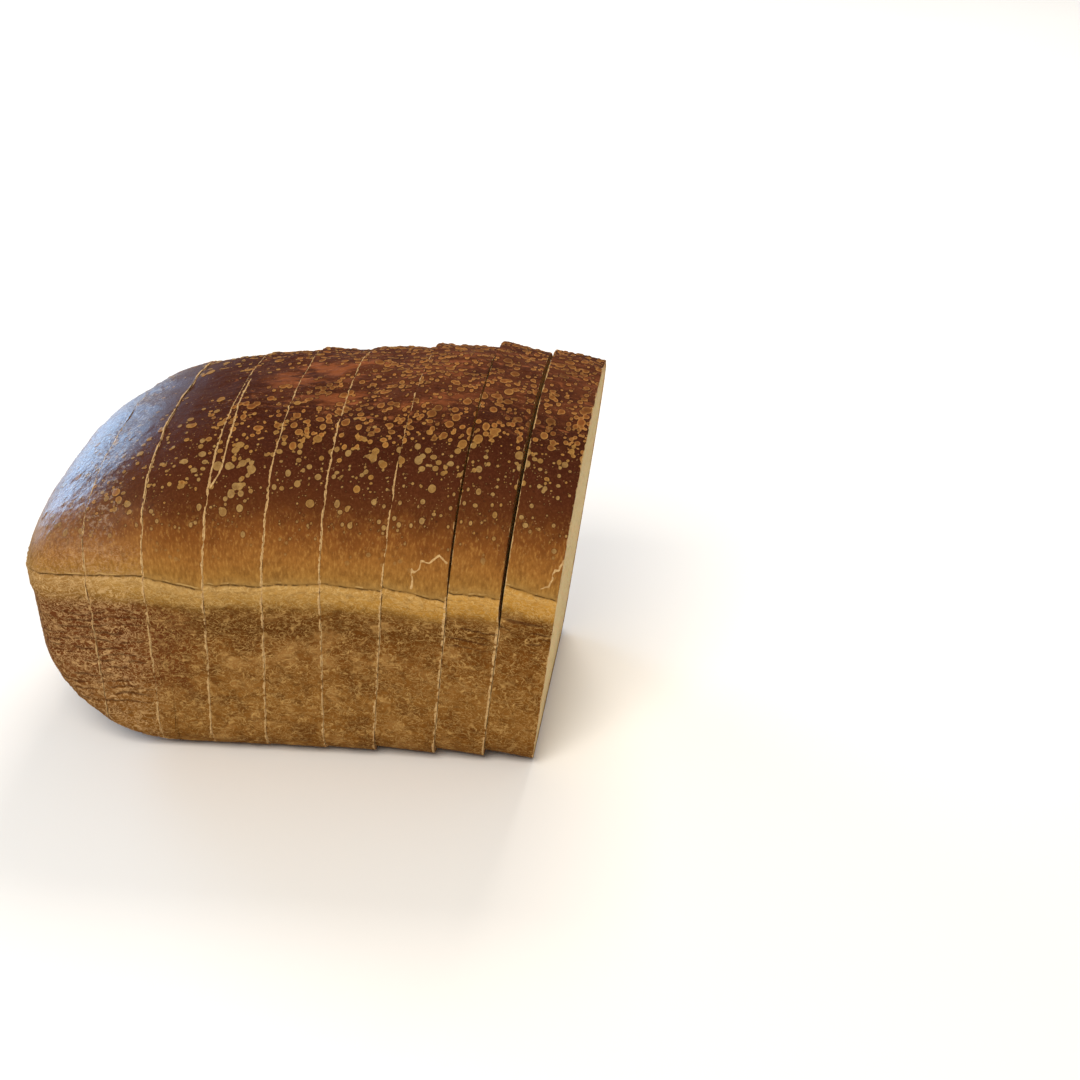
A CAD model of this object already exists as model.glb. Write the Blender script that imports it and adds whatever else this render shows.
"""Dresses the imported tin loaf: a rounded heel and eight slices with a blistered, chestnut crust."""
import math
from functools import partial

import bpy
import numpy as np
from bpy.props import FloatProperty, FloatVectorProperty, IntProperty, PointerProperty
from bpy.types import Operator, Panel, PropertyGroup
from mathutils import Matrix, Vector


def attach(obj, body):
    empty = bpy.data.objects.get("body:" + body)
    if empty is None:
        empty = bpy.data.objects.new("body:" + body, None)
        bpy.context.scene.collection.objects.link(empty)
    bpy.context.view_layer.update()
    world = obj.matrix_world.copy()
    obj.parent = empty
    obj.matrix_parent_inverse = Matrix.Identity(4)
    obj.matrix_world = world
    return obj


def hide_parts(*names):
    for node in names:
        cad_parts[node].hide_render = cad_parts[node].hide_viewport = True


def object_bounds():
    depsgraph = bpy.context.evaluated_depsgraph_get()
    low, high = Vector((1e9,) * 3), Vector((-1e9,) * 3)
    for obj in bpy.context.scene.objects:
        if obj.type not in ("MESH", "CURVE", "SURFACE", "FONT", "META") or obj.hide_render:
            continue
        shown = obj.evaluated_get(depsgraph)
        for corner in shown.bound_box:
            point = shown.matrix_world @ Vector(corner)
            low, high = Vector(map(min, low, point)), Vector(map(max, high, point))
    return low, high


bl_info = {
    "name": "Sliced tin loaf",
    "version": (1, 0, 0),
    "blender": (4, 5, 0),
    "location": "3D View > Sidebar > Tin loaf",
    "description": "Bakes the crust and the crumb of a sliced tin loaf over its packed solids",
    "category": "Object",
}

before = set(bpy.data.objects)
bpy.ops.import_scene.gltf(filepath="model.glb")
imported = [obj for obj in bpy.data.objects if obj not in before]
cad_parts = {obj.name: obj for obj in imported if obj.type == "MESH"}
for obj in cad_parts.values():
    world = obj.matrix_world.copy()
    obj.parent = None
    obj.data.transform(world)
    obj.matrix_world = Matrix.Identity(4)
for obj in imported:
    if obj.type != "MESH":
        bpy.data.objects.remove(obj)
cad_low, cad_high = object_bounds()

# The loaf's form in millimetres, the same as in its solids: the tin, the dome and the rounded heel
FOOT_WIDTH, RIM_WIDTH, RIM, FOOT_RADIUS = 105.4, 122.3, 70.0, 13.0
RISE, DOME_POWER = 48.3, 2.28
END_X, END_TAPER, END_BULGE, BULGE_MIDDLE, BULGE_REACH = -213.4, 2.5, 3.0, 42.0, 32.0
TOP_LENGTH, TOP_POWER = 109.8, 1.78
FOOT_LENGTH, FOOT_HEIGHT, FOOT_POWER = 45.0, 40.0, 1.95
CORNER_RIM, CORNER_TOP, CORNER_POWER = 15.7, 66.9, 3.07
MIDDLE = -123.21
# The cuts: where each meets the table, its tilt and how far it opens, and the gap it leaves
CUT_X = [-188.1, -171.3, -154.4, -136.3, -117.1, -101.0, -81.4, -65.2, -48.6]
CUT_TILT = [0.43, 1.93, 3.8, 4.38, 3.64, 6.54, 7.1, 7.71, 8.73]
CUT_OPENING = [0, 0, 0, 0, 0, 0, 0.27, 0.55, 0]
CUT_GAP = 0.35
# Each piece's lean, and how its dome and seam rise or drop at its two cuts
LEAN = [0, 0, 0, 0, 1, 2, 5, 7.5, 8.6]
DOME_LIFT = [
    (0, 0), (0.8, 1.2), (0.7, -0.9), (0, -1.2), (0, -0.5), (0, 1.0), (1.4, 1.7), (2.3, 1.0), (0, -1.3),
]
SEAM_SHIFT = [
    (0, -0.7), (-0.5, 0), (-0.5, -4.2), (-2.5, -2), (-1.8, -0.6), (-0.8, -1.5), (-1.7, -3.9),
    (-2.8, -2.4), (0.4, -1.9),
]
SEAM_REACH = 24
# The loaf's core line: its height, where it ends, and where the heel's end starts to face along it
CORE, CORE_END, END_FACE = 50.0, -150.0, -185.0
# Rows of the mesh below and above the seam, and the distances from a cut of its first columns
SLICE_ROWS, HEEL_ROWS = (215, 240), (170, 200)
EDGE = np.array([0, 0.1, 0.22, 0.38, 0.58, 0.84, 1.2, 1.6])
# The heights between which the last cuts' right edges part, and how much of the way
PARTING = {5: (98, 108, 0.9), 6: (66, 80, 1), 7: (54, 68, 1)}
# The flaky tears above the seam of two slices: places along the loaf and heights
TEARS = {
    6: [
        (-83.7, 69.7), (-83.2, 76.5), (-82.3, 75.4), (-81, 76.6), (-80.3, 79.3), (-78.1, 78.8),
        (-75, 81), (-72.6, 79),
    ],
    8: [(-36, 81), (-38, 78.4), (-39.1, 77.9), (-39.8, 75.2), (-40.6, 73), (-43, 71.8)],
}
# How far the crust is drawn in, so that its relief stays inside the solids' box
INSET = 0.5


# Numbers and noise


def smooth(x, low, high):
    """Rises from 0 at low to 1 at high with level ends: 3 s squared minus 2 s cubed."""
    s = np.clip((x - low) / (high - low), 0, 1)
    return s * s * (3 - 2 * s)


def noise(points, size, seed):
    """Smooth noise from -1 to 1 with lumps of one size: random values at the corners of a cubic
    lattice, blended by a smooth step along each axis."""
    p = np.asarray(points, float) / size
    cell = np.floor(p).astype(np.int64)
    f = p - cell
    f = f * f * (3 - 2 * f)
    table = np.random.default_rng(seed).uniform(-1, 1, 8192)
    total = np.zeros(p.shape[:-1])
    for corner_index in range(8):
        step = np.array([corner_index & 1, corner_index >> 1 & 1, corner_index >> 2 & 1])
        c = cell + step
        key = (c[..., 0] * 73856093) ^ (c[..., 1] * 19349663) ^ (c[..., 2] * 83492791)
        weight = np.where(step, f, 1 - f).prod(-1)
        total += weight * table[(key ^ (key >> 13)) & 8191]
    return total


def ridges(points, size, seed):
    """Thin raised lines, 1 on the line and 0 away from it: one minus the size of smooth noise,
    sharpened, where the noise crosses zero."""
    return np.clip(1 - np.abs(noise(points, size, seed)) * 3.2, 0, 1) ** 1.5


# The form of the loaf


def up_dome(z):
    """How far a height lies up the dome, 0 at the rim and 1 at the ridge."""
    return np.clip((z - RIM) / RISE, 0, 1)


def fall(share, power):
    """A quarter superellipse from 1 down to 0: the root of 1 minus the share's power."""
    return np.maximum(1 - np.clip(share, 0, 1) ** power, 0) ** (1 / power)


def half_width(z):
    """Half the section's width at a height: a round foot, a straight tin side, then the dome's
    superellipse."""
    z = np.asarray(z, float)
    foot = FOOT_WIDTH / 2
    below = np.clip(FOOT_RADIUS - z, 0, FOOT_RADIUS)
    under = foot - FOOT_RADIUS + np.sqrt(FOOT_RADIUS**2 - below**2)
    side = foot + (RIM_WIDTH / 2 - foot) * (z - FOOT_RADIUS) / (RIM - FOOT_RADIUS)
    dome = RIM_WIDTH / 2 * fall(up_dome(z), DOME_POWER)
    return np.where(z < FOOT_RADIUS, under, np.where(z < RIM, side, dome))


def end_x(z):
    """Where the heel ends at a height: its wall, plus superellipse curves over the top and at the
    foot."""
    z = np.asarray(z, float)
    low = np.clip(1 - z / FOOT_HEIGHT, 0, 1)
    top = TOP_LENGTH * (1 - fall(up_dome(z), TOP_POWER))
    wall = END_X + END_TAPER * np.clip(1 - z / RIM, 0, 1)
    return wall + top + FOOT_LENGTH * (1 - fall(low, FOOT_POWER))


def corner(z):
    """How far the heel's corners round off at a height, growing straight up the dome."""
    return CORNER_RIM + (CORNER_TOP - CORNER_RIM) * up_dome(z)


def meet(plane, inside, outside):
    """The height where the heel's end meets a plane, by halving the span 40 times."""
    if end_x(outside) <= plane(outside):
        return outside
    low, high = inside, outside
    for _ in range(40):
        middle = (low + high) / 2
        low, high = (middle, high) if end_x(middle) <= plane(middle) else (low, middle)
    return low


def spread(y, z, weight, count):
    """Points spaced evenly along a curve, closer where its weight is larger: the weighted length is
    added up and read back at equal steps."""
    step = np.hypot(np.diff(y), np.diff(z)) * (weight[1:] + weight[:-1]) / 2
    along = np.concatenate([[0], np.cumsum(step)])
    at = np.linspace(0, along[-1], count)
    return np.interp(at, along, y), np.interp(at, along, z)


def section(plane, low_rows, dome_rows):
    """Half of the upright section in a plane, from the middle of the foot to the top, as widths and
    heights. Each row's width is the profile's, drawn in by the heel's rounding."""
    foot, top = meet(plane, FOOT_HEIGHT, 0.0), meet(plane, RIM, RIM + RISE)

    def width(z):
        """Half the width at a height, less what the heel's corner takes off."""
        round_off = corner(z)
        return half_width(z) * fall((end_x(z) + round_off - plane(z)) / round_off, CORNER_POWER)

    def near_rim(z):
        """The weight of a height: more points within a few millimetres of the rim."""
        return 1 + 1.3 * np.exp(-(((z - RIM) / 2.5) ** 2))

    z = foot + (RIM - foot) * np.linspace(0, 1, 900) ** 3
    y = width(z)
    # the flat foot, from the middle out, with fewer points
    y, z = np.concatenate([np.linspace(0, y[0], 40), y]), np.concatenate([np.full(40, foot), z])
    low_y, low_z = spread(y, z, np.where(z <= foot + 1e-9, 0.45, near_rim(z)), low_rows)
    angle = math.asin(min(float(up_dome(top)) ** (DOME_POWER / 2), 1))
    t = angle * (1 - (1 - np.linspace(0, 1, 1400)) ** 3)
    z = RIM + RISE * np.sin(t) ** (2 / DOME_POWER)
    y = width(z)
    y[-1] = 0
    top_y, top_z = spread(y, z, near_rim(z), dome_rows)
    return np.concatenate([low_y, top_y[1:]]), np.concatenate([low_z, top_z[1:]])


def seam_height(rest):
    """Height above the seam, which wanders a little along the loaf: height minus the rim's, minus
    slow noise along the length."""
    line = np.stack([rest[..., 0], np.sign(rest[..., 1]) * 40, np.zeros(rest.shape[:-1])], -1)
    wander = 0.55 * noise(line, 7.0, 5) + 0.25 * noise(line, 2.2, 6) + 0.12 * noise(line, 0.9, 7)
    return rest[..., 2] - RIM - wander


def uneven(n, share, z):
    """Height after piece n's own unevenness: its seam shifted within a cosine bump, and its dome
    lifted by a smooth step from the rim to the ridge."""
    reach = np.clip((z - RIM) / SEAM_REACH, -1, 1)
    seam = SEAM_SHIFT[n][0] + (SEAM_SHIFT[n][1] - SEAM_SHIFT[n][0]) * share
    lift = DOME_LIFT[n][0] + (DOME_LIFT[n][1] - DOME_LIFT[n][0]) * share
    return z + seam * np.cos(reach * np.pi / 2) ** 2 + lift * smooth(z, RIM, RIM + RISE)


# The crust's relief


def scatter_blisters(seed):
    """The blisters' middles, half sizes and tones over the whole loaf. Each band of the dome has its
    own count and sizes, and the sizes follow a lognormal law. Large ones keep clear of each other,
    except near the ridge, where they crowd into scales."""
    rng = np.random.default_rng(seed)
    # lowest and highest height, count on the whole loaf, middle radius, spread, share kept at the
    # heel, and how much smaller they are at the cut end
    bands = [
        (89, 111, 400, 0.95, 0.28, 0.35, 0.42), (103, 113, 420, 0.95, 0.32, 0.3, 0),
        (110, 118.3, 2300, 0.9, 0.35, 0.35, 0), (109, 118.3, 1100, 0.5, 0.35, 0.8, 0),
        (98, 111, 1000, 0.36, 0.4, 1, 0), (87, 101, 500, 0.34, 0.35, 1, 0.42),
        (77, 90, 200, 0.42, 0.35, 0.8, 0),
    ]
    largest = 1.65
    kept = np.zeros((0, 6))
    for low, high, count, radius, wide, share, smaller in bands:
        t_low, t_high = (np.arcsin(up_dome(h) ** (DOME_POWER / 2)) for h in (low, high))
        z = RIM + RISE * np.sin(rng.uniform(t_low, t_high, count)) ** (2 / DOME_POWER)
        x = rng.uniform(END_X, -26, count)
        start = (end_x(z) + corner(z) - x) / corner(z)
        y = rng.choice([-1, 1], count) * half_width(z) * fall(start, CORNER_POWER)
        r = radius * np.exp(rng.normal(0, wide, count)) * (1 - smaller * smooth(x, -100, -75))
        tone = np.clip(0.06 + 0.74 * smooth(z, 105, 114.5) + rng.normal(0, 0.13, count), 0, 1)
        radii = [r * rng.uniform(0.85, 1.15, count), r * rng.uniform(0.85, 1.3, count)]
        fresh = np.stack([x, y, z, *radii, tone], 1)
        chance = share + (1 - share) * smooth(x, -190, -160)
        stays = (start < 0.995) & (r < largest) & (rng.uniform(0, 1, count) < chance)
        apart = 0.95 if low < 104 else 0.8
        for row in fresh[stays]:
            gap = np.linalg.norm(kept[:, :3] - row[:3], axis=1)
            clear = (gap > apart * (kept[:, 3] + row[3])).all()
            if radius < 0.6 or clear or rng.uniform() < 0.12:
                kept = np.concatenate([kept, row[None]])
    # the heel's end, spaced by the angle round it, and the one large blister low on the heel
    count = 620
    phi = np.pi / 2 * rng.uniform(0, 1, count)
    z = rng.uniform(80, 116, count)
    x = end_x(z) + corner(z) * (1 - np.sin(phi) ** (2 / CORNER_POWER))
    y = half_width(z) * np.cos(phi) ** (2 / CORNER_POWER) * rng.choice([-1, 1], count)
    r = 0.48 * np.exp(rng.normal(0, 0.5, count))
    ends = np.stack([x, y, z, r, r, rng.uniform(0.1, 0.5, count)], 1)[r < 1.7]
    height = 83.9
    single = [[-194.1, -half_width(height) * 0.97, height, 1.5, 2.1, 0.1]]
    return np.concatenate([kept, ends, single])


def blister_field(rest, blisters):
    """Height, distance and tone of the blisters at each point. A blister is an ellipse with a
    slightly wavy edge; the distance to it is the ellipse's own radius minus one, times its size. It
    rises over 0.3 mm to a plateau whose middle has sunk a little. The highest one counts."""
    shape = rest.shape[:-1]
    flat = rest.reshape(-1, 3)
    wavy = 0.08 * noise(flat, 1.5, 21) + 0.04 * noise(flat, 0.7, 22)
    away, tone, height = np.full(len(flat), 1.5), np.zeros(len(flat)), np.zeros(len(flat))
    order = np.argsort(flat[:, 0], kind="stable")
    xs = flat[order, 0]
    for x, y, z, rx, rs, hue in blisters:
        reach = 1.25 * max(rx, rs) + 0.5
        a, b = np.searchsorted(xs, (x - reach, x + reach))
        near = order[a:b]
        across = np.hypot(flat[near, 1] - y, flat[near, 2] - z)
        near, across = near[across < reach], across[across < reach]
        edge = (np.hypot((flat[near, 0] - x) / rx, across / rs) - 1 + wavy[near]) * min(rx, rs)
        closer = edge < away[near]
        away[near[closer]], tone[near[closer]] = edge[closer], hue
        # toasted ones are rounder
        mound = smooth(hue, 0.4, 0.7)
        rise = (0.1 + (0.16 + 0.07 * mound) * min(rx, 1.7)) * smooth(-edge, -0.08, 0.3 + 0.6 * mound * rx)
        sunk = (0.35 - 0.3 * mound) * smooth(-edge, 0.3, 0.3 + 0.6 * rx)
        height[near] = np.maximum(height[near], rise * (1 - sunk))
    return height.reshape(shape), away.reshape(shape), tone.reshape(shape)


def skin_net(rest):
    """The net of dry skin on the tin side, 0 to 1: two sizes of raised lines through bent space,
    broken into short lengths."""
    bent = rest * [0.6, 0.8, 1] + 0.8 * np.stack([noise(rest, 2.0, 51 + i) for i in range(3)], -1)
    breaks = smooth(noise(rest, 1.6, 54), -0.5, 0.2)
    return np.maximum(ridges(bent, 2.1, 55) * breaks, 0.85 * ridges(bent, 1.3, 56))


def wrinkle_field(rest):
    """Level wrinkles in the tin side, deep near the heel and under the band of the last two slices:
    the crests of a sine up the height whose phase follows noise, broken into lengths by noise."""
    x, z = rest[..., 0], rest[..., 2]
    left = (1 - smooth(x, -178, -166)) * smooth(z, 12, 22) * (1 - smooth(z, 54, 61))
    right = smooth(x, -84, -76) * smooth(z, 44, 49) * (1 - smooth(z, 58, 61))
    phase = z * 2.3 + 3.2 * noise(rest * [0.5, 0.5, 1], 5.0, 57) + 0.9 * noise(rest, 1.6, 58)
    lengths = smooth(noise(rest * [0.45, 0.45, 1], 2.4, 59), -0.6, 0.3)
    return np.clip(np.sin(phase), 0, 1) ** 2.5 * lengths * (0.12 + 0.88 * np.maximum(left, right))


def torn_strip(n, rest, shown, left, right):
    """How far inside torn crust a point lies, in millimetres: strips along the cuts whose widths
    follow noise, wide on one side where they are narrow on the other, a loose strip beside one cut,
    and two flaky tears given by the points they pass through."""
    slow = noise(rest * [0.1, 1, 1], 4.5, 45)
    quick = noise(rest, 1.1, 46) + 0.6 * noise(rest, 0.5, 47)
    low = 1 - smooth(rest[..., 2], 60, 80)
    wide = (-0.08 if n < 2 else 0.0) * low + 0.2 * (low if n in (6, 7) else 1)
    from_right = wide + 0.05 + 0.24 * slow + (0.22 + 0.12 * low) * quick - right
    from_left = wide - 0.02 - 0.26 * slow + 0.2 * quick - left
    far_off = 9.0
    line = np.full(wide.shape, far_off)
    if n == 3:
        # the loose strip leaves the cut and comes back to it
        offset = 2.9 * smooth(rest[..., 2], 96, 104) * (1 - smooth(rest[..., 2], 109, 117))
        line = np.where((offset > 0.4) & (rest[..., 1] < 0), np.abs(left - offset), line)
    bent = shown[..., [0, 2]] + 0.5 * np.stack([noise(rest, 1.6, 48), noise(rest, 1.6, 49)], -1)
    path = np.array(TEARS.get(n, []), float)
    for a, b in zip(path[:-1], path[1:]):
        t = np.clip(((bent - a) @ (b - a)) / ((b - a) @ (b - a)), 0, 1)
        away = np.linalg.norm(bent - a - t[..., None] * (b - a), axis=-1)
        line = np.where(rest[..., 1] < 0, np.minimum(line, away), line)
    return np.maximum(np.maximum(from_right, from_left), 0.34 + 0.14 * quick - line)


def crust_relief(rest, seam, raised, net, wrinkles, torn):
    """How far the crust stands out: low swells as in the solids, the seam's crease and band, the net
    and wrinkles of the tin side, upright flecks on the lower dome, long scales near the ridge, the
    blisters and the torn strips."""
    x, y, z = rest[..., 0], rest[..., 1], rest[..., 2]
    wave = np.sin(x * 0.21 + y * 0.05) * np.cos(y * 0.13 - x * 0.04 + 1.2) + 0.6 * np.sin(y * 0.31 + x * 0.17)
    dome, top = smooth(seam, 3, 18), smooth(z, 106, 113)
    side = 1 - smooth(seam, -10, -6)
    band = smooth(seam, -11, -7) * (1 - smooth(seam, -0.9, -0.1))
    upright = noise(rest * [1, 1, 0.35], 0.9, 33)
    low_dome = smooth(seam, 0.3, 2) * (1 - smooth(seam, 14, 26))
    lumps = 0.2 * noise(rest, 7.0, 35) + 0.12 * noise(rest, 2.6, 36) + 0.05 * noise(rest, 1.0, 37)
    crease = np.exp(-((seam / 0.5) ** 2)) * (0.5 + 0.35 * noise(rest, 3.0, 40))
    out = 0.35 * dome * wave + 0.45 * band - crease + raised - INSET
    out += side * (0.2 * net - 0.38 * wrinkles + 0.14 * noise(rest, 3.2, 31) + 0.07 * noise(rest, 0.9, 34))
    out += band * (0.3 * net + 0.05 * upright + 0.16 * noise(rest, 1.6, 38)) + low_dome * 0.07 * upright
    out += top * 0.24 * ridges(rest * [0.35, 1, 1], 3.0, 39) + 0.05 * top * noise(rest, 1.2, 30)
    scuffed = 0.09 * noise(rest, 1.3, 28) + 0.06 * ridges(rest, 0.9, 26) - 0.45 * raised
    out += dome * (1 - smooth(x, -185, -165)) * scuffed
    out += smooth(torn, 0, 0.2) * (0.1 + 0.12 * noise(rest, 0.6, 29))
    return out + lumps * (0.35 + 0.65 * dome)


def crust_values(rest, seam, torn, distance, blisters):
    """How far each point of the crust stands out, less what broke away near a cut, and the values
    that its mesh keeps."""
    height, away, tone = blister_field(rest, blisters)
    net, wrinkles = skin_net(rest), wrinkle_field(rest)
    out = crust_relief(rest, seam, height, net, wrinkles, torn) - edge_loss(rest, distance)
    kept = {"rest": rest, "seam": seam, "blister": away, "tone": tone}
    return out, {**kept, "torn": torn, "net": net, "dent": wrinkles}


def grid_normals(points, closed):
    """Unit normals of a grid, pointing away from the core line: the cross product of the
    differences along both ways of the grid."""
    if closed:
        du = np.roll(points, -1, 0) - np.roll(points, 1, 0)
    else:
        du = np.gradient(points, axis=0)
    normal = np.cross(du, np.gradient(points, axis=1))
    length = np.linalg.norm(normal, axis=-1, keepdims=True)
    away = points - [CORE_END, 0, CORE]
    away[..., 0] *= np.where(points[..., 0] < END_FACE, 1, 0)
    away /= np.linalg.norm(away, axis=-1, keepdims=True) + 1e-9
    normal = np.where(length > 1e-7, normal / np.maximum(length, 1e-7), away)
    return normal * np.where((normal * away).sum(-1, keepdims=True) < 0, -1, 1)


def edge_loss(rest, distance):
    """How far the crust has broken away near a cut: an exponential fall from the edge, deeper and
    shallower by noise."""
    torn = 0.4 + 0.5 * noise(rest, 1.6, 41) + 0.35 * noise(rest, 0.6, 42)
    return 0.4 * np.clip(torn, 0.02, 1.3) * np.exp(-distance / 0.25)


# Meshes


class Shell:
    """Collects grids of points with their values, and makes one mesh of them."""

    def __init__(self):
        self.points, self.faces, self.kinds, self.count = [], [], [], 0
        names = ("rest", "seam", "blister", "tone", "torn", "net", "depth", "dent")
        self.values = {name: [] for name in names}

    def add(self, points, kind, closed=False, flip=False, **values):
        """Adds a grid: its points, its quads in rows and columns, closed round its rows or not."""
        rows, columns = points.shape[:2]
        index = np.arange(rows * columns).reshape(rows, columns) + self.count
        if closed:
            index = np.concatenate([index, index[:1]])
        a, b, c, d = index[:-1, :-1], index[1:, :-1], index[1:, 1:], index[:-1, 1:]
        quads = np.stack([a, d, c, b] if flip else [a, b, c, d], -1).reshape(-1, 4)
        self.points.append(points.reshape(-1, 3))
        self.faces.append(quads)
        self.kinds.append(np.full(len(quads), kind, np.int32))
        self.count += rows * columns
        for name, held in self.values.items():
            size = 3 if name == "rest" else 1
            value = values.get(name, np.zeros(rows * columns * size))
            held.append(np.asarray(value, float).reshape(-1, size))

    def build(self, name, materials):
        """Makes the object, in metres about the loaf's middle."""
        points = (np.concatenate(self.points) - [MIDDLE, 0, 0]) * 0.001
        inside = 1e-5
        points = np.clip(points, np.array(cad_low) + [inside, inside, 0], np.array(cad_high) - inside)
        faces, kinds = np.concatenate(self.faces), np.concatenate(self.kinds)
        mesh = bpy.data.meshes.new(name)
        mesh.vertices.add(len(points))
        mesh.vertices.foreach_set("co", points.astype(np.float32).ravel())
        mesh.loops.add(faces.size)
        mesh.loops.foreach_set("vertex_index", faces.ravel().astype(np.int32))
        mesh.polygons.add(len(faces))
        mesh.polygons.foreach_set("loop_start", np.arange(0, faces.size, 4, dtype=np.int32))
        mesh.polygons.foreach_set("material_index", kinds)
        mesh.polygons.foreach_set("use_smooth", np.ones(len(faces), bool))
        for key, held in self.values.items():
            data = np.concatenate(held).astype(np.float32)
            if key == "rest":
                mesh.attributes.new(key, "FLOAT_VECTOR", "POINT").data.foreach_set("vector", data.ravel())
            else:
                mesh.attributes.new(key, "FLOAT", "POINT").data.foreach_set("value", data.ravel())
        mesh.update(calc_edges=True)
        mesh.validate()
        for material in materials:
            mesh.materials.append(material)
        shown = bpy.data.objects.new(name, mesh)
        bpy.context.scene.collection.objects.link(shown)
        return shown


def pore_field(y, z, seed, count):
    """Depth of the crumb's pores: ellipses of lognormal sizes, deepest in the middle."""
    rng = np.random.default_rng(seed)
    depth = np.zeros(y.size)
    flat_y, flat_z = y.ravel(), z.ravel()
    order = np.argsort(flat_z, kind="stable")
    zs = flat_z[order]
    wavy = 0.25 * noise(np.stack([flat_y, flat_z, flat_y * 0], -1), 1.0, seed + 1)
    cy, cz = rng.uniform(-60, 60, count), rng.uniform(2, 117, count)
    radius = np.minimum(0.42 * np.exp(rng.normal(0, 0.48, count)), 1.9)
    long, turn = rng.uniform(1, 1.9, count), rng.uniform(0, np.pi, count)
    for py, pz, r, stretch, angle in zip(cy, cz, radius, long, turn):
        a, b = np.searchsorted(zs, (pz - r * 2, pz + r * 2))
        near = order[a:b]
        near = near[np.abs(flat_y[near] - py) < r * 2]
        dy, dz = flat_y[near] - py, flat_z[near] - pz
        u, v = dy * math.cos(angle) + dz * math.sin(angle), dz * math.cos(angle) - dy * math.sin(angle)
        q = np.hypot(u / (r * stretch), v / r) + wavy[near]
        depth[near] = np.maximum(depth[near], (1 - smooth(q, 0.35, 1.0)) * (0.35 + 0.65 * min(r, 1.0)))
    return depth.reshape(y.shape)


def cut_face(shell, near, far, outward, columns, seed, pores):
    """Fills a cut face between its near and far edges, which are lists of points from the foot to
    the top, by level rows. Pores and fine crumb sink in along the face's normal."""
    share = np.linspace(0, 1, columns + 1)[None, :, None]
    points = near[:, None] * (1 - share) + far[:, None] * share
    edge = np.concatenate([near, far[::-1]])
    bearing = np.unwrap(np.arctan2(edge[:, 1], edge[:, 2] - CORE))
    radius = np.hypot(edge[:, 1], edge[:, 2] - CORE)
    order = np.argsort(bearing)
    here = np.arctan2(points[..., 1], points[..., 2] - CORE)
    rim = np.interp(here, bearing[order], radius[order], period=2 * np.pi)
    depth = np.maximum(rim - np.hypot(points[..., 1], points[..., 2] - CORE), 0)
    depth = np.minimum(depth, points[..., 2] - near[0, 2])
    pore = np.zeros(depth.shape)
    if pores:
        pore = pore_field(points[..., 1], points[..., 2], seed, pores)
        fine = noise(points, 0.9, seed + 3) + 0.6 * noise(points, 0.45, seed + 4)
        inside = smooth(depth, 0.2, 1.5)
        swell = 0.12 * noise(points, 6.0, seed + 5) + 0.15
        sink = inside * (0.5 * pore * smooth(depth, 1.5, 5) + 0.09 * fine + swell)
        points = points - outward * sink[..., None]
    shell.add(points, 1, flip=outward[0] > 0, rest=points, depth=depth * (1 if pores else 0.3), dent=pore)


def slice_columns(thick):
    """Shares across a slice: close together at both cuts, then even."""
    pitch = 0.38
    inner = np.linspace(EDGE[-1], thick - EDGE[-1], int((thick - 2 * EDGE[-1]) / pitch) + 1)[1:-1]
    return np.concatenate([EDGE, inner, thick - EDGE[::-1]]) / thick


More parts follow.
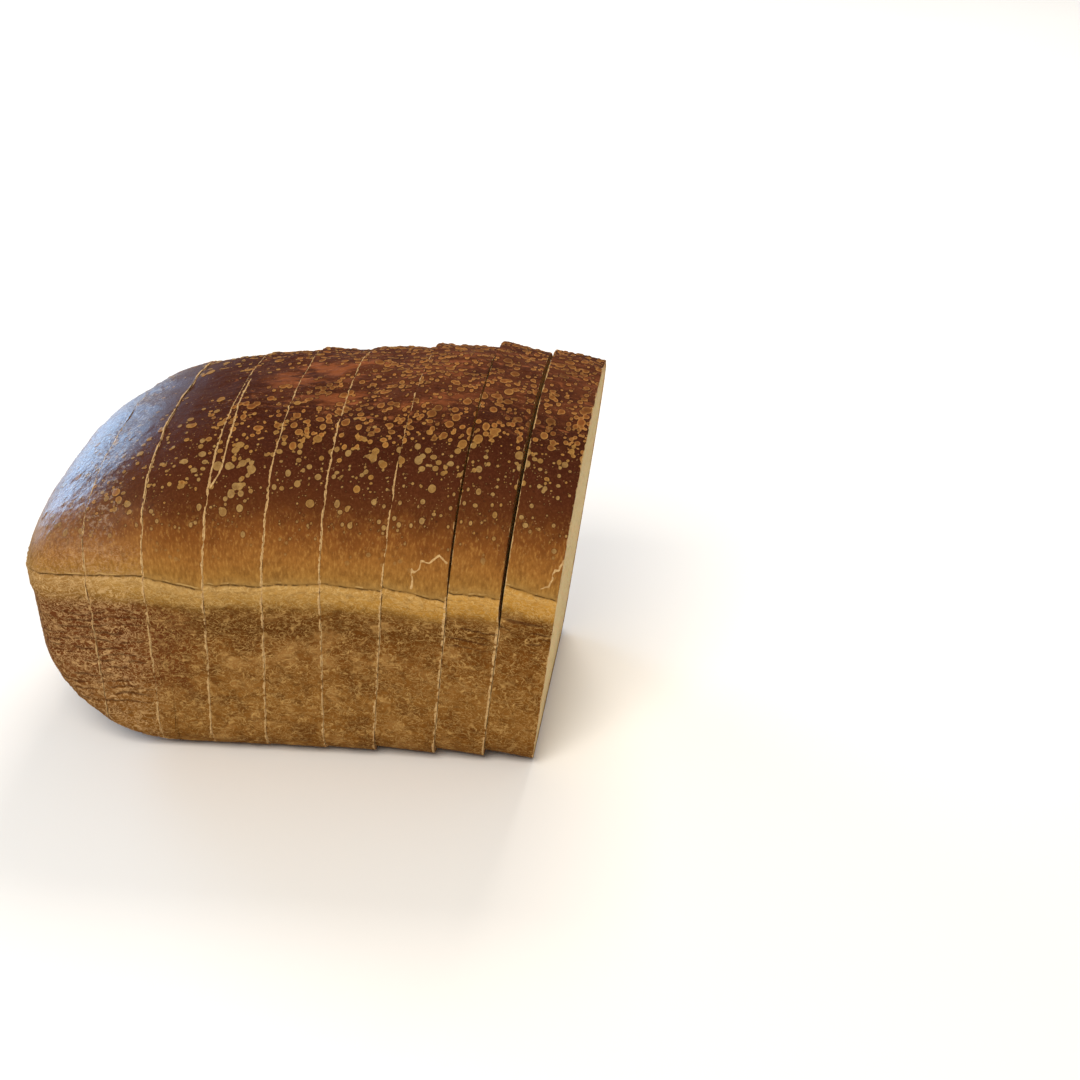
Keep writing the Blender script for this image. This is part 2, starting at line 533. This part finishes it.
def slice_mesh(n, blisters, materials):
    """Slice n: its ring of crust from cut to cut, shaped as it stood in the loaf, then leaned about
    its right foot by a turn in the XZ plane, with both cut faces."""
    lean, right = math.radians(LEAN[n]), CUT_X[n]
    left_tilt = math.radians(CUT_TILT[n - 1] + CUT_OPENING[n - 1])
    right_tilt = math.radians(CUT_TILT[n])
    span = right - CUT_X[n - 1] - CUT_GAP
    thick = span / (math.cos(lean) + math.sin(lean) * math.tan(left_tilt))
    shares = slice_columns(thick)

    def plane(z, share):
        """Where a share of the way from the left cut to the right one lies at a height."""
        left = z * math.tan(left_tilt - lean) - thick
        return right + left + (z * math.tan(right_tilt - lean) - left) * share

    halves = [section(lambda z, s=s: plane(z, s), *SLICE_ROWS) for s in shares]
    y, z = (np.stack([h[k] for h in halves], 1) for k in (0, 1))
    y = np.concatenate([-y, y[-2:0:-1]])
    z = np.concatenate([z, z[-2:0:-1]])
    rest = np.stack([plane(z, shares), y, z], -1)

    def stand(points, along):
        """Points after the piece's unevenness and its lean."""
        h = uneven(n, shares, points[..., 2])
        along = plane(h, shares) + along - right
        x = right + along * math.cos(lean) + h * math.sin(lean)
        return np.stack([x, points[..., 1], h * math.cos(lean) - along * math.sin(lean)], -1)

    seam = seam_height(rest)
    wide = thick + z * (math.tan(right_tilt - lean) - math.tan(left_tilt - lean))
    to_left, to_right = shares * wide, (1 - shares) * wide
    distance = np.minimum(to_left, to_right)
    torn = torn_strip(n, rest, stand(rest, 0), to_left, to_right)
    out, values = crust_values(rest, seam, torn, distance, blisters)
    foot = smooth(z, 0, 3)
    moved = rest + grid_normals(rest, True) * (out * foot)[..., None]
    # the right edge reaches into the knife's gap in torn crumbs
    opening = math.tan(math.radians(CUT_TILT[n] + CUT_OPENING[n])) - math.tan(right_tilt)
    low, high, part = PARTING.get(n, (98, 108, 0))
    reach = 1 - part * smooth(z, low, high)
    crumbs = (CUT_GAP - 0.07 + z * opening) * (0.8 + 0.2 * noise(rest, 1.0, 43))
    fringe = reach * crumbs - 0.05 * (1 - reach) if n < 8 else 0.2 * noise(rest, 0.8, 43) - 0.2
    fringe = (distance < 1e-6) * np.where(shares > 0.5, fringe, -0.03)
    drift = (moved[..., 0] - rest[..., 0]) * smooth(distance, 0, 1.0)
    final = stand(moved, drift + fringe)
    under = (0.16 * smooth(noise(rest, 4.0, 27), -0.2, 0.6) + 0.1 * values["net"]) * (1 - foot)
    final[..., 2] = np.maximum(final[..., 2], 0) + under
    shell = Shell()
    shell.add(final, 0, closed=True, **values)
    rows = len(halves[0][0])
    for column, tilt, sign in ((0, left_tilt, -1), (-1, right_tilt, 1)):
        near = final[:rows, column]
        far = np.concatenate([final[:1, column], final[:rows - 2:-1, column]])
        start = int(np.argmax(halves[column][1] > halves[column][1][0] + 1e-6)) - 1
        outward = np.array([math.cos(tilt), 0, -math.sin(tilt)]) * sign
        open_face = n == 8 and sign == 1
        gap_face = (n, sign) in ((6, 1), (7, -1), (7, 1), (8, -1))
        # columns and pores: many on the open face, few where a gap shows, hardly any where none does
        columns, pores = (240, 3800) if open_face else (30, 0) if gap_face else (6, 0)
        cut_face(shell, near[start:], far[start:], outward, columns, 100 + n, pores)
    return shell.build(f"slice_{n}_crust", materials)


def heel_mesh(blisters, materials):
    """The heel: level rows that run from the near side of the first cut round the end to the far
    side. Along a row the path is straight, then a superellipse corner; its angle is spaced by
    length."""
    tilt = math.radians(CUT_TILT[0])
    half_y, rows = section(lambda z: CUT_X[0] + z * math.tan(tilt), *HEEL_ROWS)
    z = rows[:, None]
    phi = np.linspace(0, 1, 2000) ** 2 * np.pi / 2
    px = CORNER_RIM * (1 - np.sin(phi) ** (2 / CORNER_POWER))
    py = RIM_WIDTH / 2 * np.cos(phi) ** (2 / CORNER_POWER)
    along = np.concatenate([[0], np.cumsum(np.hypot(np.diff(px), np.diff(py)))])
    cut = CUT_X[0] + z * math.tan(tilt)
    start = (end_x(z) + corner(z) - cut) / corner(z)
    straight = np.maximum(-start * corner(z), 0)
    start_phi = np.arcsin(np.clip(start, 0, 1) ** (CORNER_POWER / 2))
    size = (corner(z) + half_width(z)) / (CORNER_RIM + RIM_WIDTH / 2)
    arc = along[-1] * size * (1 - start_phi / (np.pi / 2)) + 1e-9
    # columns for a way of this length from the cut to the middle of the end, scaled to each row's own
    length = 82
    columns = np.concatenate([EDGE, np.linspace(EDGE[-1], length, 190)[1:]]) / length
    way = columns[None, :] * (straight + arc)
    inner = np.clip((way - straight) / arc, 0, 1)
    swing = np.interp(inner * along[-1], along, phi)
    swing = start_phi + (np.pi / 2 - start_phi) * swing / (np.pi / 2)
    x = np.where(way <= straight, cut - way, end_x(z) + corner(z) * (1 - np.sin(swing) ** (2 / CORNER_POWER)))
    wide = half_width(z) * np.where(way <= straight, 1.0, np.maximum(np.cos(swing), 0) ** (2 / CORNER_POWER))
    wide[:, -1] = 0
    wide[:, 0] = half_y
    wide[-1] = 0
    bulge = END_BULGE * np.sin(swing) ** 6 * np.maximum(1 - ((z - BULGE_MIDDLE) / BULGE_REACH) ** 2, 0)
    x = np.minimum(x, cut) - np.where(way <= straight, 0, bulge)
    near = np.stack([x, -wide, z + 0 * x], -1)
    far = near[:, -2::-1] * [1, -1, 1]
    rest = np.concatenate([near, far], 1)
    distance = np.concatenate([way, way[:, -2::-1]], 1)
    # the heel settles evenly over this length from its cut
    settling = 60
    share = 1 - np.clip(distance / settling, 0, 1)
    # the near side's seam is carried round the end; the heel has no left cut, so that lies far off
    seam = seam_height(rest * [1, 0, 1] + [0, -40, 0])
    torn = torn_strip(0, rest, rest, distance + 9, distance)
    out, values = crust_values(rest, seam, torn, distance, blisters)
    moved = rest + grid_normals(rest, False) * out[..., None]
    h = uneven(0, share, moved[..., 2])
    at_cut = distance < 1e-6
    limit = CUT_X[0] + h * math.tan(tilt)
    fringe = np.minimum(0.14 + 0.13 * noise(rest, 1.0, 44), 0.27)
    x = np.where(at_cut, limit + fringe, np.minimum(moved[..., 0], limit))
    final = np.stack([x, moved[..., 1], np.maximum(h, 0)], -1)
    shell = Shell()
    shell.add(final, 0, flip=True, **values)
    outward = np.array([math.cos(tilt), 0, -math.sin(tilt)])
    cut_face(shell, final[:, 0], final[:, -1], outward, 6, 90, 0)
    return shell.build("heel_crust", materials)


# Colours and materials


def srgb(colour):
    """An sRGB hex colour as a triple from 0 to 1."""
    return tuple(int(colour[i:i + 2], 16) / 255 for i in (1, 3, 5))


def linear(colour):
    """Turns an sRGB hex colour or triple into linear RGBA: a straight line near black, then a power
    of 2.4."""
    triple = srgb(colour) if isinstance(colour, str) else colour
    return [c / 12.92 if c <= 0.04045 else ((c + 0.055) / 1.055) ** 2.4 for c in triple[:3]] + [1.0]


# Each node in use: its type, the places of the inputs given in order, the place of the output that is
# read, and what it always has. Clouds and dots take their scale second, one over the size of a lump.
NODES = {
    "plus": ("Math", (0, 1), 0, {"operation": "ADD"}),
    "minus": ("Math", (0, 1), 0, {"operation": "SUBTRACT"}),
    "times": ("Math", (0, 1), 0, {"operation": "MULTIPLY"}),
    "over": ("Math", (0, 1), 0, {"operation": "DIVIDE"}),
    "larger": ("Math", (0, 1), 0, {"operation": "MAXIMUM"}),
    "unsigned": ("Math", (0,), 0, {"operation": "ABSOLUTE"}),
    "rise": ("MapRange", (0, 1, 2, 3, 4), 0, {"interpolation_type": "SMOOTHSTEP"}),
    "mix": ("Mix", (0, 6, 7), 2, {"data_type": "RGBA"}),
    "ramp": ("ValToRGB", (0,), 0, {}),
    "value": ("Attribute", (), 2, {}),
    "vector": ("Attribute", (), 1, {}),
    "object": ("TexCoord", (), 3, {}),
    "along": ("SeparateXYZ", (0,), 0, {}),
    "stretch": ("Mapping", (0, 3), 0, {"vector_type": "POINT"}),
    "clouds": ("TexNoise", (0, 2), 0, {"Detail": 3.0, "Roughness": 0.55}),
    "dots": ("TexVoronoi", (0, 2), 0, {}),
    "dice": ("TexWhiteNoise", (1,), 0, {"noise_dimensions": "1D"}),
    "bump": ("Bump", (3, 0, 1), 0, {}),
    "shader": ("BsdfPrincipled", (), 0, {}),
    "surface": ("OutputMaterial", (0,), None, {}),
}


def node(tree, kind, *inputs, stops=(), **named):
    """Adds a node and gives its output. An input is another node's output, a number or an sRGB
    colour. Inputs come in order or by a name with a capital, and any other name is a setting.
    Stops are the places and colours of a ramp."""
    title, order, output, fixed = NODES[kind]
    made = tree.nodes.new("ShaderNode" + title)
    for key, value in {**fixed, **dict(zip(order, inputs)), **named}.items():
        if isinstance(key, str) and key.islower():
            setattr(made, key, value)
        elif isinstance(value, bpy.types.NodeSocket):
            tree.links.new(value, made.inputs[key])
        else:
            socket = made.inputs[key]
            socket.default_value = linear(value) if socket.type == "RGBA" else value
    for _ in stops[2:]:
        made.color_ramp.elements.new(0.5)
    for index, (place, colour) in enumerate(stops):
        made.color_ramp.elements[index].position = place
        made.color_ramp.elements[index].color = linear(colour)
    return None if output is None else made.outputs[output]


def product(add, *shares):
    """The product of shares. A share is a node's output, a number, or a tuple of a value and the
    span over which it rises from 0 to 1, or between the two ends given after it."""
    made = [add("rise", *share) if isinstance(share, tuple) else share for share in shares]
    result = made[0]
    for other in made[1:]:
        result = add("times", result, other)
    return result


def layers(add, colour, *rows):
    """Lays shades over a colour one after another, each by the product of its shares."""
    for shade, *shares in rows:
        colour = add("mix", product(add, *shares), colour, shade)
    return colour


def new_material(name):
    """An empty material, and the function that adds nodes to it."""
    material = bpy.data.materials.new(name)
    material.use_nodes = True
    material.node_tree.nodes.clear()
    return material, partial(node, material.node_tree)


class CrustValues:
    """What the crust's layers read: where a point lay in the loaf, the mesh's own values, clouds of
    several sizes, and masks from 0 to 1 for the parts of the loaf. Lengths are in millimetres."""

    def __init__(self, add):
        self.rest = add("vector", attribute_name="rest")
        self.along = add("along", self.rest)
        for name in ("seam", "net", "blister", "tone", "torn", "dent"):
            setattr(self, name, add("value", attribute_name=name))
        self.broad = add("clouds", self.rest, 1 / 14)
        self.spots = add("clouds", self.rest, 1 / 9, Detail=4, Roughness=0.6)
        self.middle = add("clouds", self.rest, 1 / 4, Detail=4)
        self.fine = add("clouds", self.rest, 1 / 0.8)
        self.bent = add("stretch", self.rest, (0.65, 0.8, 1))
        self.drawn = add("stretch", self.rest, (0.45, 1, 1))
        self.threads = self.skin_threads(add)
        # the tin side, everything under the seam, and the dome and its top
        self.side = add("rise", self.seam, -9.5, -5, 1, 0.25)
        self.below = add("rise", self.seam, -1, 0.5, 1, 0)
        self.dome = add("rise", self.seam, 6, 20)
        self.top = add("rise", self.seam, 38.5, 45)
        # light specks, long scales near the ridge, and scuffs on the heel
        dots = add("dots", self.rest, 1 / 1.15)
        self.speck = product(add, (dots, 0.12, 0.22, 1, 0), (self.middle, 0.42, 0.6))
        self.scale = add("clouds", self.drawn, 1 / 2, Detail=4, Roughness=0.6, Distortion=0.6)
        rubbed = add("clouds", self.rest, 1 / 1.3, Detail=4, Roughness=0.65)
        self.worn = product(add, rubbed, (self.along, -160, -180))

    def skin_threads(self, add):
        """The net of light skin: lines where clouds of two sizes cross their middle, and the mesh's
        own net."""
        lines = []
        for size, distortion, width, strength in ((2.5, 0.9, 0.03, 1), (1.4, 0.8, 0.035, 0.8)):
            cloud = add("clouds", self.bent, 1 / size, Detail=2.5, Roughness=0.6, Distortion=distortion)
            away = add("unsigned", add("minus", cloud, 0.5))
            lines.append(add("rise", away, 0, width, strength, 0))
        drawn = add("times", add("larger", *lines), 0.9)
        return add("larger", add("rise", self.net, 0.5, 1, 0, 0.8), drawn)


def baked_colour(add, crust, looks):
    """The bake from the foot over the seam to the ridge, by the height from the seam, which clouds
    shift up and down. Patches are redder or darker, the tin side is greyer and darker at the heel
    and yellower towards the cut end, and so is the band."""
    lowest, span = -72, 122
    seam, along = crust.seam, crust.along
    wander = add("times", add("minus", crust.broad, 0.5), 13)
    wander = add("plus", wander, add("times", add("minus", crust.middle, 0.5), 7))
    wander = product(add, wander, (add("unsigned", seam), 2, 14, 0.12, 1))
    place = add("over", add("minus", add("plus", seam, wander), lowest), span)
    bakes = [
        (-70, "#704617"), (-45, "#845926"), (-25, "#6f4419"), (-18, "#57330f"), (-12, "#643d15"),
        (-9.2, "#7c5624"), (-6.5, "#936d33"), (-3.5, "#a47d40"), (-0.7, looks.band), (0.3, "#94713c"),
        (3.2, "#8f652e"), (8, "#8d5d29"), (15, "#75451c"), (23, "#512910"), (31, looks.dome),
        (41, "#3a180a"), (44.5, "#3c1a0b"), (48, "#522813"),
    ]
    colour = add("ramp", place, stops=[((height - lowest) / span, shade) for height, shade in bakes])
    low = add("rise", seam, -13, -7, 1, 0)
    return layers(
        add, colour,
        ("#4f2a10", (crust.middle, 0.45, 0.8, 0, 0.35)),
        ("#55300f", (crust.spots, 0.5, 0.36), low, 0.65),
        ("#a87d46", (crust.spots, 0.52, 0.7), low, 0.55),
        ("#7d5630", (along, -178, -192), (seam, 2, -1), 0.45),
        ("#6b3f0e", low, (along, -140, -60, 0, 0.3)),
        ("#c48a2c", (along, -150, -50, 0, 0.4), (seam, -11, -6), (seam, 1, -1)),
        ("#5c2c14", (along, -146, -168), (seam, -8, -13), (seam, -60, -32), 0.65),
    )


def tin_side(add, crust, looks, colour):
    """The tin side: a net of light skin over brown, which at the heel curls up over the seam, with
    dark pits between its threads and dark wrinkles."""
    patch = add("rise", crust.middle, 0.3, 0.6, 0.35, 0.75)
    patch = add("plus", patch, add("rise", crust.along, -162, -178, 0, 0.08))
    hollows = add("clouds", crust.bent, 1 / 2.2)
    return layers(
        add, colour,
        (looks.fibre, crust.threads, crust.side, patch, crust.below),
        ("#c29a70", crust.threads, (crust.along, -164, -178, 0, 0.5), (crust.seam, 13, 8)),
        ("#56330f", (hollows, 0.52, 0.66), crust.side, add("minus", 1, crust.threads), crust.below, 0.5),
        ("#472712", (crust.dent, 0.12, 0.7), crust.below, 0.65),
    )


def flecks(add, crust, colour):
    """Upright light and dark flecks between the seam and the dark dome, and curls of light skin on
    the gold band."""
    streak = add("clouds", add("stretch", crust.rest, (1, 1, 0.4)), 1 / 0.75, Detail=2)
    low_dome = product(add, (crust.seam, 0.2, 2), (crust.seam, 12, 30, 1, 0))
    band = product(add, (crust.seam, -9.5, -6), (crust.seam, -0.6, 0, 1, 0))
    curl = add("clouds", crust.rest, 1 / 1.5, Roughness=0.6, Distortion=0.8)
    return layers(
        add, colour,
        ("#b98b48", (streak, 0.48, 0.78), low_dome, 0.42),
        ("#5f3a14", (streak, 0.5, 0.3), low_dome, 0.35),
        ("#8c6834", (curl, 0.5, 0.28), band, 0.65),
        ("#d3b37a", crust.threads, band, 0.4),
    )


def dome_marks(add, crust, colour):
    """The dome's small light specks, its long toasted scales near the ridge, which turn orange away
    from the cut end, and pale scuffs on the heel."""
    orange = add("clouds", crust.drawn, 1 / 7)
    return layers(
        add, colour,
        ("#a37e50", crust.speck, crust.dome, 0.6),
        ("#98552f", (orange, 0.5, 0.64), (crust.seam, 43, 46.5), (crust.along, -72, -92, 0.1, 0.5)),
        ("#9c5c34", (crust.scale, 0.54, 0.7), crust.top, 0.6),
        ("#34160b", (crust.scale, 0.45, 0.3), crust.top, 0.6),
        ("#74452a", (crust.fine, 0.45, 0.7), crust.dome, 0.2),
        ("#a88f78", (crust.worn, 0.5, 0.62), crust.dome, 0.5),
    )


def blister_skin(add, crust, looks, colour):
    """The blisters: olive tan low down, toasted orange-brown near the ridge, with a light rim, a
    browner middle and a dark ring round them. Low ones fade where the clouds are thin."""
    tone, away = crust.tone, crust.blister
    toasts = [(0, looks.blister), (0.3, "#9a7238"), (0.6, looks.toasted), (1, "#a0602d")]
    skin = layers(
        add, add("ramp", tone, stops=toasts),
        ("#644022", add("dice", tone), 0.5),
        ("#c69250", (away, -0.42, -0.2), (away, -0.2, -0.02, 1, 0), (tone, 0.25, 0.5, 0.3, 0.6)),
        ("#693a1b", (away, -0.4, -0.8), (tone, 0.3, 0.6, 0.05, 0.55)),
        ("#6f4a22", (add("clouds", crust.rest, 1 / 1.1), 0.42, 0.7, 0, 0.5)),
    )
    cover = product(add, crust.spots, (tone, 0.3, 0.6, 2, 1))
    inside = product(add, (away, -0.16, 0.06, 1, 0), (tone, 0.3, 0.8, 1, 0.85), (cover, 0.4, 0.55, 0.6, 1))
    return layers(
        add, colour,
        ("#2a1109", (away, 0, 0.3, 1, 0), crust.dome, (tone, 0.3, 0.6, 0.45, 0.85)),
        (skin, inside, (crust.seam, 5, 20, 0.25, 0.95)),
    )


def seam_and_tears(add, crust, looks, colour):
    """The dark line in the seam's crease, fainter in places, the flaky edge of skin just over it,
    and the straw-coloured strips that the knife tore along the cuts."""
    crease = add("unsigned", crust.seam)
    fainter = add("clouds", crust.rest, 1 / 2.6)
    over_seam = add("unsigned", add("minus", crust.seam, 0.9))
    tear = add("plus", crust.torn, add("times", add("minus", crust.fine, 0.5), 0.35))
    straw = layers(add, looks.torn, ("#9a7242", (crust.fine, 0.35, 0.65, 0, 0.6)))
    return layers(
        add, colour,
        ("#46301a", (crease, 0.08, 0.42, 0.9, 0), (fainter, 0.38, 0.56, 0.15, 1)),
        ("#bd9a60", (over_seam, 0.1, 0.4, 0.7, 0), (crust.middle, 0.5, 0.62)),
        (straw, (tear, 0, 0.14, 0, 0.92)),
    )


def crust_bumps(add, crust):
    """The relief too fine for the mesh: the sum of the grain, threads, specks, scales, blisters and
    scuffs, each by its own height."""
    bumps = add("times", crust.fine, 0.5)
    parts = [
        (crust.threads, crust.side, 0.6), (crust.speck, 0.4), (crust.scale, crust.top, 2),
        ((crust.blister, -0.45, 0.02, 1, 0), 1.2), (crust.worn, crust.dome, 4),
    ]
    for shares in parts:
        bumps = add("plus", bumps, product(add, *shares))
    return add("bump", bumps, 0.6, 0.0004)


def crust_material(looks):
    """Baked wheat crust: dark and slightly glossy where the dome caught the oven's heat, glazed at
    the heel, gold at the seam, and dull brown where it lay against the tin, with pale blisters and
    torn, straw-coloured cut edges."""
    material, add = new_material("baked_wheat_crust")
    crust = CrustValues(add)
    colour = baked_colour(add, crust, looks)
    colour = tin_side(add, crust, looks, colour)
    colour = flecks(add, crust, colour)
    colour = dome_marks(add, crust, colour)
    colour = blister_skin(add, crust, looks, colour)
    colour = seam_and_tears(add, crust, looks, colour)
    shine = product(add, (crust.seam, 4, 26), (crust.along, -145, -185, 0.35, 1))
    gloss = add("plus", add("rise", shine, 0, 1, 0.82, 0.4), add("times", crust.fine, 0.2))
    glaze = product(add, (crust.along, -205, -155, 0.85, 0), (crust.seam, 1, 12))
    shader = add("shader", **{
        "Base Color": colour, "Roughness": gloss, "IOR": 1.4, "Specular IOR Level": 0.05,
        "Coat Weight": glaze, "Coat Roughness": 0.42, "Normal": crust_bumps(add, crust),
    })
    add("surface", shader)
    return material


def crumb_material(looks):
    """Soft wheat crumb, cut by a knife: pale cream, finely pored and a little translucent, browner
    towards the crust."""
    material, add = new_material("soft_wheat_crumb")
    rest = add("vector", attribute_name="rest")
    fine = add("clouds", rest, 1 / 0.9, Detail=4.0, Roughness=0.65)
    wander = add("times", add("minus", add("clouds", rest, 1 / 5), 0.5), 1.6)
    deep_in = 14
    place = add("over", add("plus", add("value", attribute_name="depth"), wander), deep_in)
    colour = add("ramp", place, stops=[
        (0.0, "#6f431d"), (0.045, "#a57439"), (0.1, "#c79c5e"), (0.2, "#d9bb84"),
        (0.5, looks.crumb), (1.0, looks.crumb),
    ])
    dent = add("value", attribute_name="dent")
    colour = layers(add, colour, ("#c2a067", (fine, 0.3, 0.7, 0.45, 0)), ("#b58f55", dent, 0.55))
    shader = add("shader", **{
        "Base Color": colour, "Roughness": 0.88, "IOR": 1.4, "Subsurface Weight": 0.25,
        "Subsurface Scale": 0.002, "Normal": add("bump", fine, 0.7, 0.0006),
    })
    add("surface", shader)
    return material


def bread_materials(looks):
    """The crust and the crumb, each made once."""
    makers = {"baked_wheat_crust": crust_material, "soft_wheat_crumb": crumb_material}
    return [bpy.data.materials.get(name) or make(looks) for name, make in makers.items()]


# Settings


def colour_property(name, text, colour):
    """A colour picker whose default is an sRGB hex colour."""
    return FloatVectorProperty(
        name=name, description=text, default=srgb(colour), subtype="COLOR_GAMMA", min=0, max=1,
    )


def power_property(name, text, watts):
    """A light's strength in watts."""
    return FloatProperty(name=name, description=text, default=watts, min=0, unit="POWER")


class CrustLooks(PropertyGroup):
    """Colours and relief of the bread."""

    dome: colour_property("Dome", "Dark chestnut of the dome", "#46200f")
    band: colour_property("Gold band", "Pale band just under the seam", "#ad874d")
    fibre: colour_property("Skin fibres", "Light fibres on the tin side", "#c69f60")
    blister: colour_property("Blisters", "Greyish tan of the dome's lower blisters", "#a08250")
    toasted: colour_property("Toasted blisters", "Orange-brown of the blisters near the ridge", "#a66b32")
    torn: colour_property("Torn edges", "Straw colour of the crust torn by the knife", "#c8a673")
    crumb: colour_property("Crumb", "Pale cream of the soft inside", "#d8c08c")
    seed: IntProperty(
        name="Blister seed", description="Which scatter of blisters the dome has", default=7, min=0,
    )


class StageLooks(PropertyGroup):
    """The floor, the lights and the camera."""

    floor: colour_property("Floor", "Plain pale floor", "#f2f0ec")
    key: power_property("Key light", "Strength of the large front light", 13.0)
    top: power_property("Top light", "Strength of the light over the ridge", 10.0)
    sky: power_property("Sky light", "Strength of the cool light behind the heel", 10.0)
    lens: FloatProperty(
        name="Lens", description="The camera's focal length", default=74.98, min=20, unit="CAMERA",
    )


class LOAF_OT_heel(Operator):
    """Makes the heel's crust and replaces its solid"""

    bl_idname = "loaf.heel"
    bl_label = "Bake the heel"

    def execute(self, context):
        looks = context.scene.loaf_crust
        piece = heel_mesh(scatter_blisters(looks.seed), bread_materials(looks))
        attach(piece, "root")
        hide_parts("heel")
        return {"FINISHED"}


class LOAF_OT_slices(Operator):
    """Makes the eight slices and replaces their solids"""

    bl_idname = "loaf.slices"
    bl_label = "Bake the slices"

    def execute(self, context):
        looks = context.scene.loaf_crust
        materials = bread_materials(looks)
        blisters = scatter_blisters(looks.seed)
        for n in range(1, 9):
            piece = slice_mesh(n, blisters, materials)
            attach(piece, "root")
            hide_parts(f"slice_{n}")
        return {"FINISHED"}


def area_light(name, place, target, size, power, colour):
    """A soft square light that faces a point."""
    data = bpy.data.lights.new(name, "AREA")
    data.shape, data.size, data.energy, data.color = "SQUARE", size, power, colour
    light = bpy.data.objects.new(name, data)
    light.location = place
    light.rotation_euler = (Vector(target) - Vector(place)).to_track_quat("-Z", "Y").to_euler()
    bpy.context.scene.collection.objects.link(light)


class LOAF_OT_stage(Operator):
    """Makes the pale floor, the soft lights and the camera"""

    bl_idname = "loaf.stage"
    bl_label = "Set the stage"

    def execute(self, context):
        looks = context.scene.loaf_stage
        mesh = bpy.data.meshes.new("floor")
        reach = 6
        corners = [(-reach, -reach, 0), (reach, -reach, 0), (reach, reach, 0), (-reach, reach, 0)]
        mesh.from_pydata(corners, [], [(0, 1, 2, 3)])
        # matt paint, with clouds 400 mm wide that are a little darker
        material, add = new_material("painted_board_floor")
        grain = add("clouds", add("object"), 1 / 0.4, Detail=2.0)
        tint = layers(add, looks.floor, ("#e9e6e0", (grain, 0.3, 0.7, 0, 0.25)))
        add("surface", add("shader", **{"Base Color": tint, "Roughness": 0.85}))
        mesh.materials.append(material)
        floor = bpy.data.objects.new("floor", mesh)
        context.scene.collection.objects.link(floor)
        area_light("key", (-0.1, -0.9, 1.0), (0, 0, 0.05), 0.6, looks.key, (1.0, 0.94, 0.86))
        area_light("top", (0.1, 0.95, 1.0), (0, 0, 0.05), 0.5, looks.top, (1.0, 0.93, 0.86))
        area_light("sky", (-1.0, 1.0, 0.32), (-0.07, 0, 0.08), 0.55, looks.sky, (0.36, 0.64, 1.0))
        world = bpy.data.worlds.new("studio")
        context.scene.world = world
        world.use_nodes = True
        world.node_tree.nodes["Background"].inputs[0].default_value = (1.0, 1.0, 1.0, 1.0)
        world.node_tree.nodes["Background"].inputs[1].default_value = 0.45
        context.scene.view_settings.view_transform = "Standard"
        data = bpy.data.cameras.new("camera")
        data.sensor_width, data.lens = 36.0, looks.lens
        camera = bpy.data.objects.new("camera", data)
        # the camera's place, and its turns to the side, down and about its own axis
        place = ((31.152 - MIDDLE) / 1000, -0.667176, 0.389621)
        yaw, pitch, roll = (math.radians(a) for a in (7.006, 26.234, -0.767))
        ahead = math.cos(pitch)
        forward = Vector((-math.sin(yaw) * ahead, math.cos(yaw) * ahead, -math.sin(pitch)))
        right = Vector((math.cos(yaw), math.sin(yaw), 0))
        up = right.cross(forward)
        side = right * math.cos(roll) + up * math.sin(roll)
        over = up * math.cos(roll) - right * math.sin(roll)
        turn = Matrix((side, over, -forward)).transposed().to_4x4()
        camera.matrix_world = Matrix.Translation(place) @ turn
        data.clip_start, data.clip_end = 0.01, 50
        context.scene.collection.objects.link(camera)
        context.scene.camera = camera
        return {"FINISHED"}


class LOAF_PT_panel(Panel):
    """Lists the loaf's settings and steps"""

    bl_idname = "LOAF_PT_panel"
    bl_label = "Tin loaf"
    bl_space_type = "VIEW_3D"
    bl_region_type = "UI"
    bl_category = "Tin loaf"

    def draw(self, context):
        for group in (context.scene.loaf_crust, context.scene.loaf_stage):
            for key in group.bl_rna.properties.keys():
                if key not in {"rna_type", "name"}:
                    self.layout.prop(group, key)
        for operator in (LOAF_OT_heel, LOAF_OT_slices, LOAF_OT_stage):
            self.layout.operator(operator.bl_idname)


CLASSES = (CrustLooks, StageLooks, LOAF_OT_heel, LOAF_OT_slices, LOAF_OT_stage, LOAF_PT_panel)


def register():
    """Registers the classes and hangs the settings on the scene."""
    for cls in CLASSES:
        bpy.utils.register_class(cls)
    bpy.types.Scene.loaf_crust = PointerProperty(type=CrustLooks)
    bpy.types.Scene.loaf_stage = PointerProperty(type=StageLooks)


def unregister():
    """Takes the settings and the classes away again."""
    del bpy.types.Scene.loaf_crust
    del bpy.types.Scene.loaf_stage
    for cls in reversed(CLASSES):
        bpy.utils.unregister_class(cls)


def main():
    """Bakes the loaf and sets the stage."""
    register()
    bpy.ops.loaf.heel()
    bpy.ops.loaf.slices()
    bpy.ops.loaf.stage()


if __name__ == "__main__":
    main()
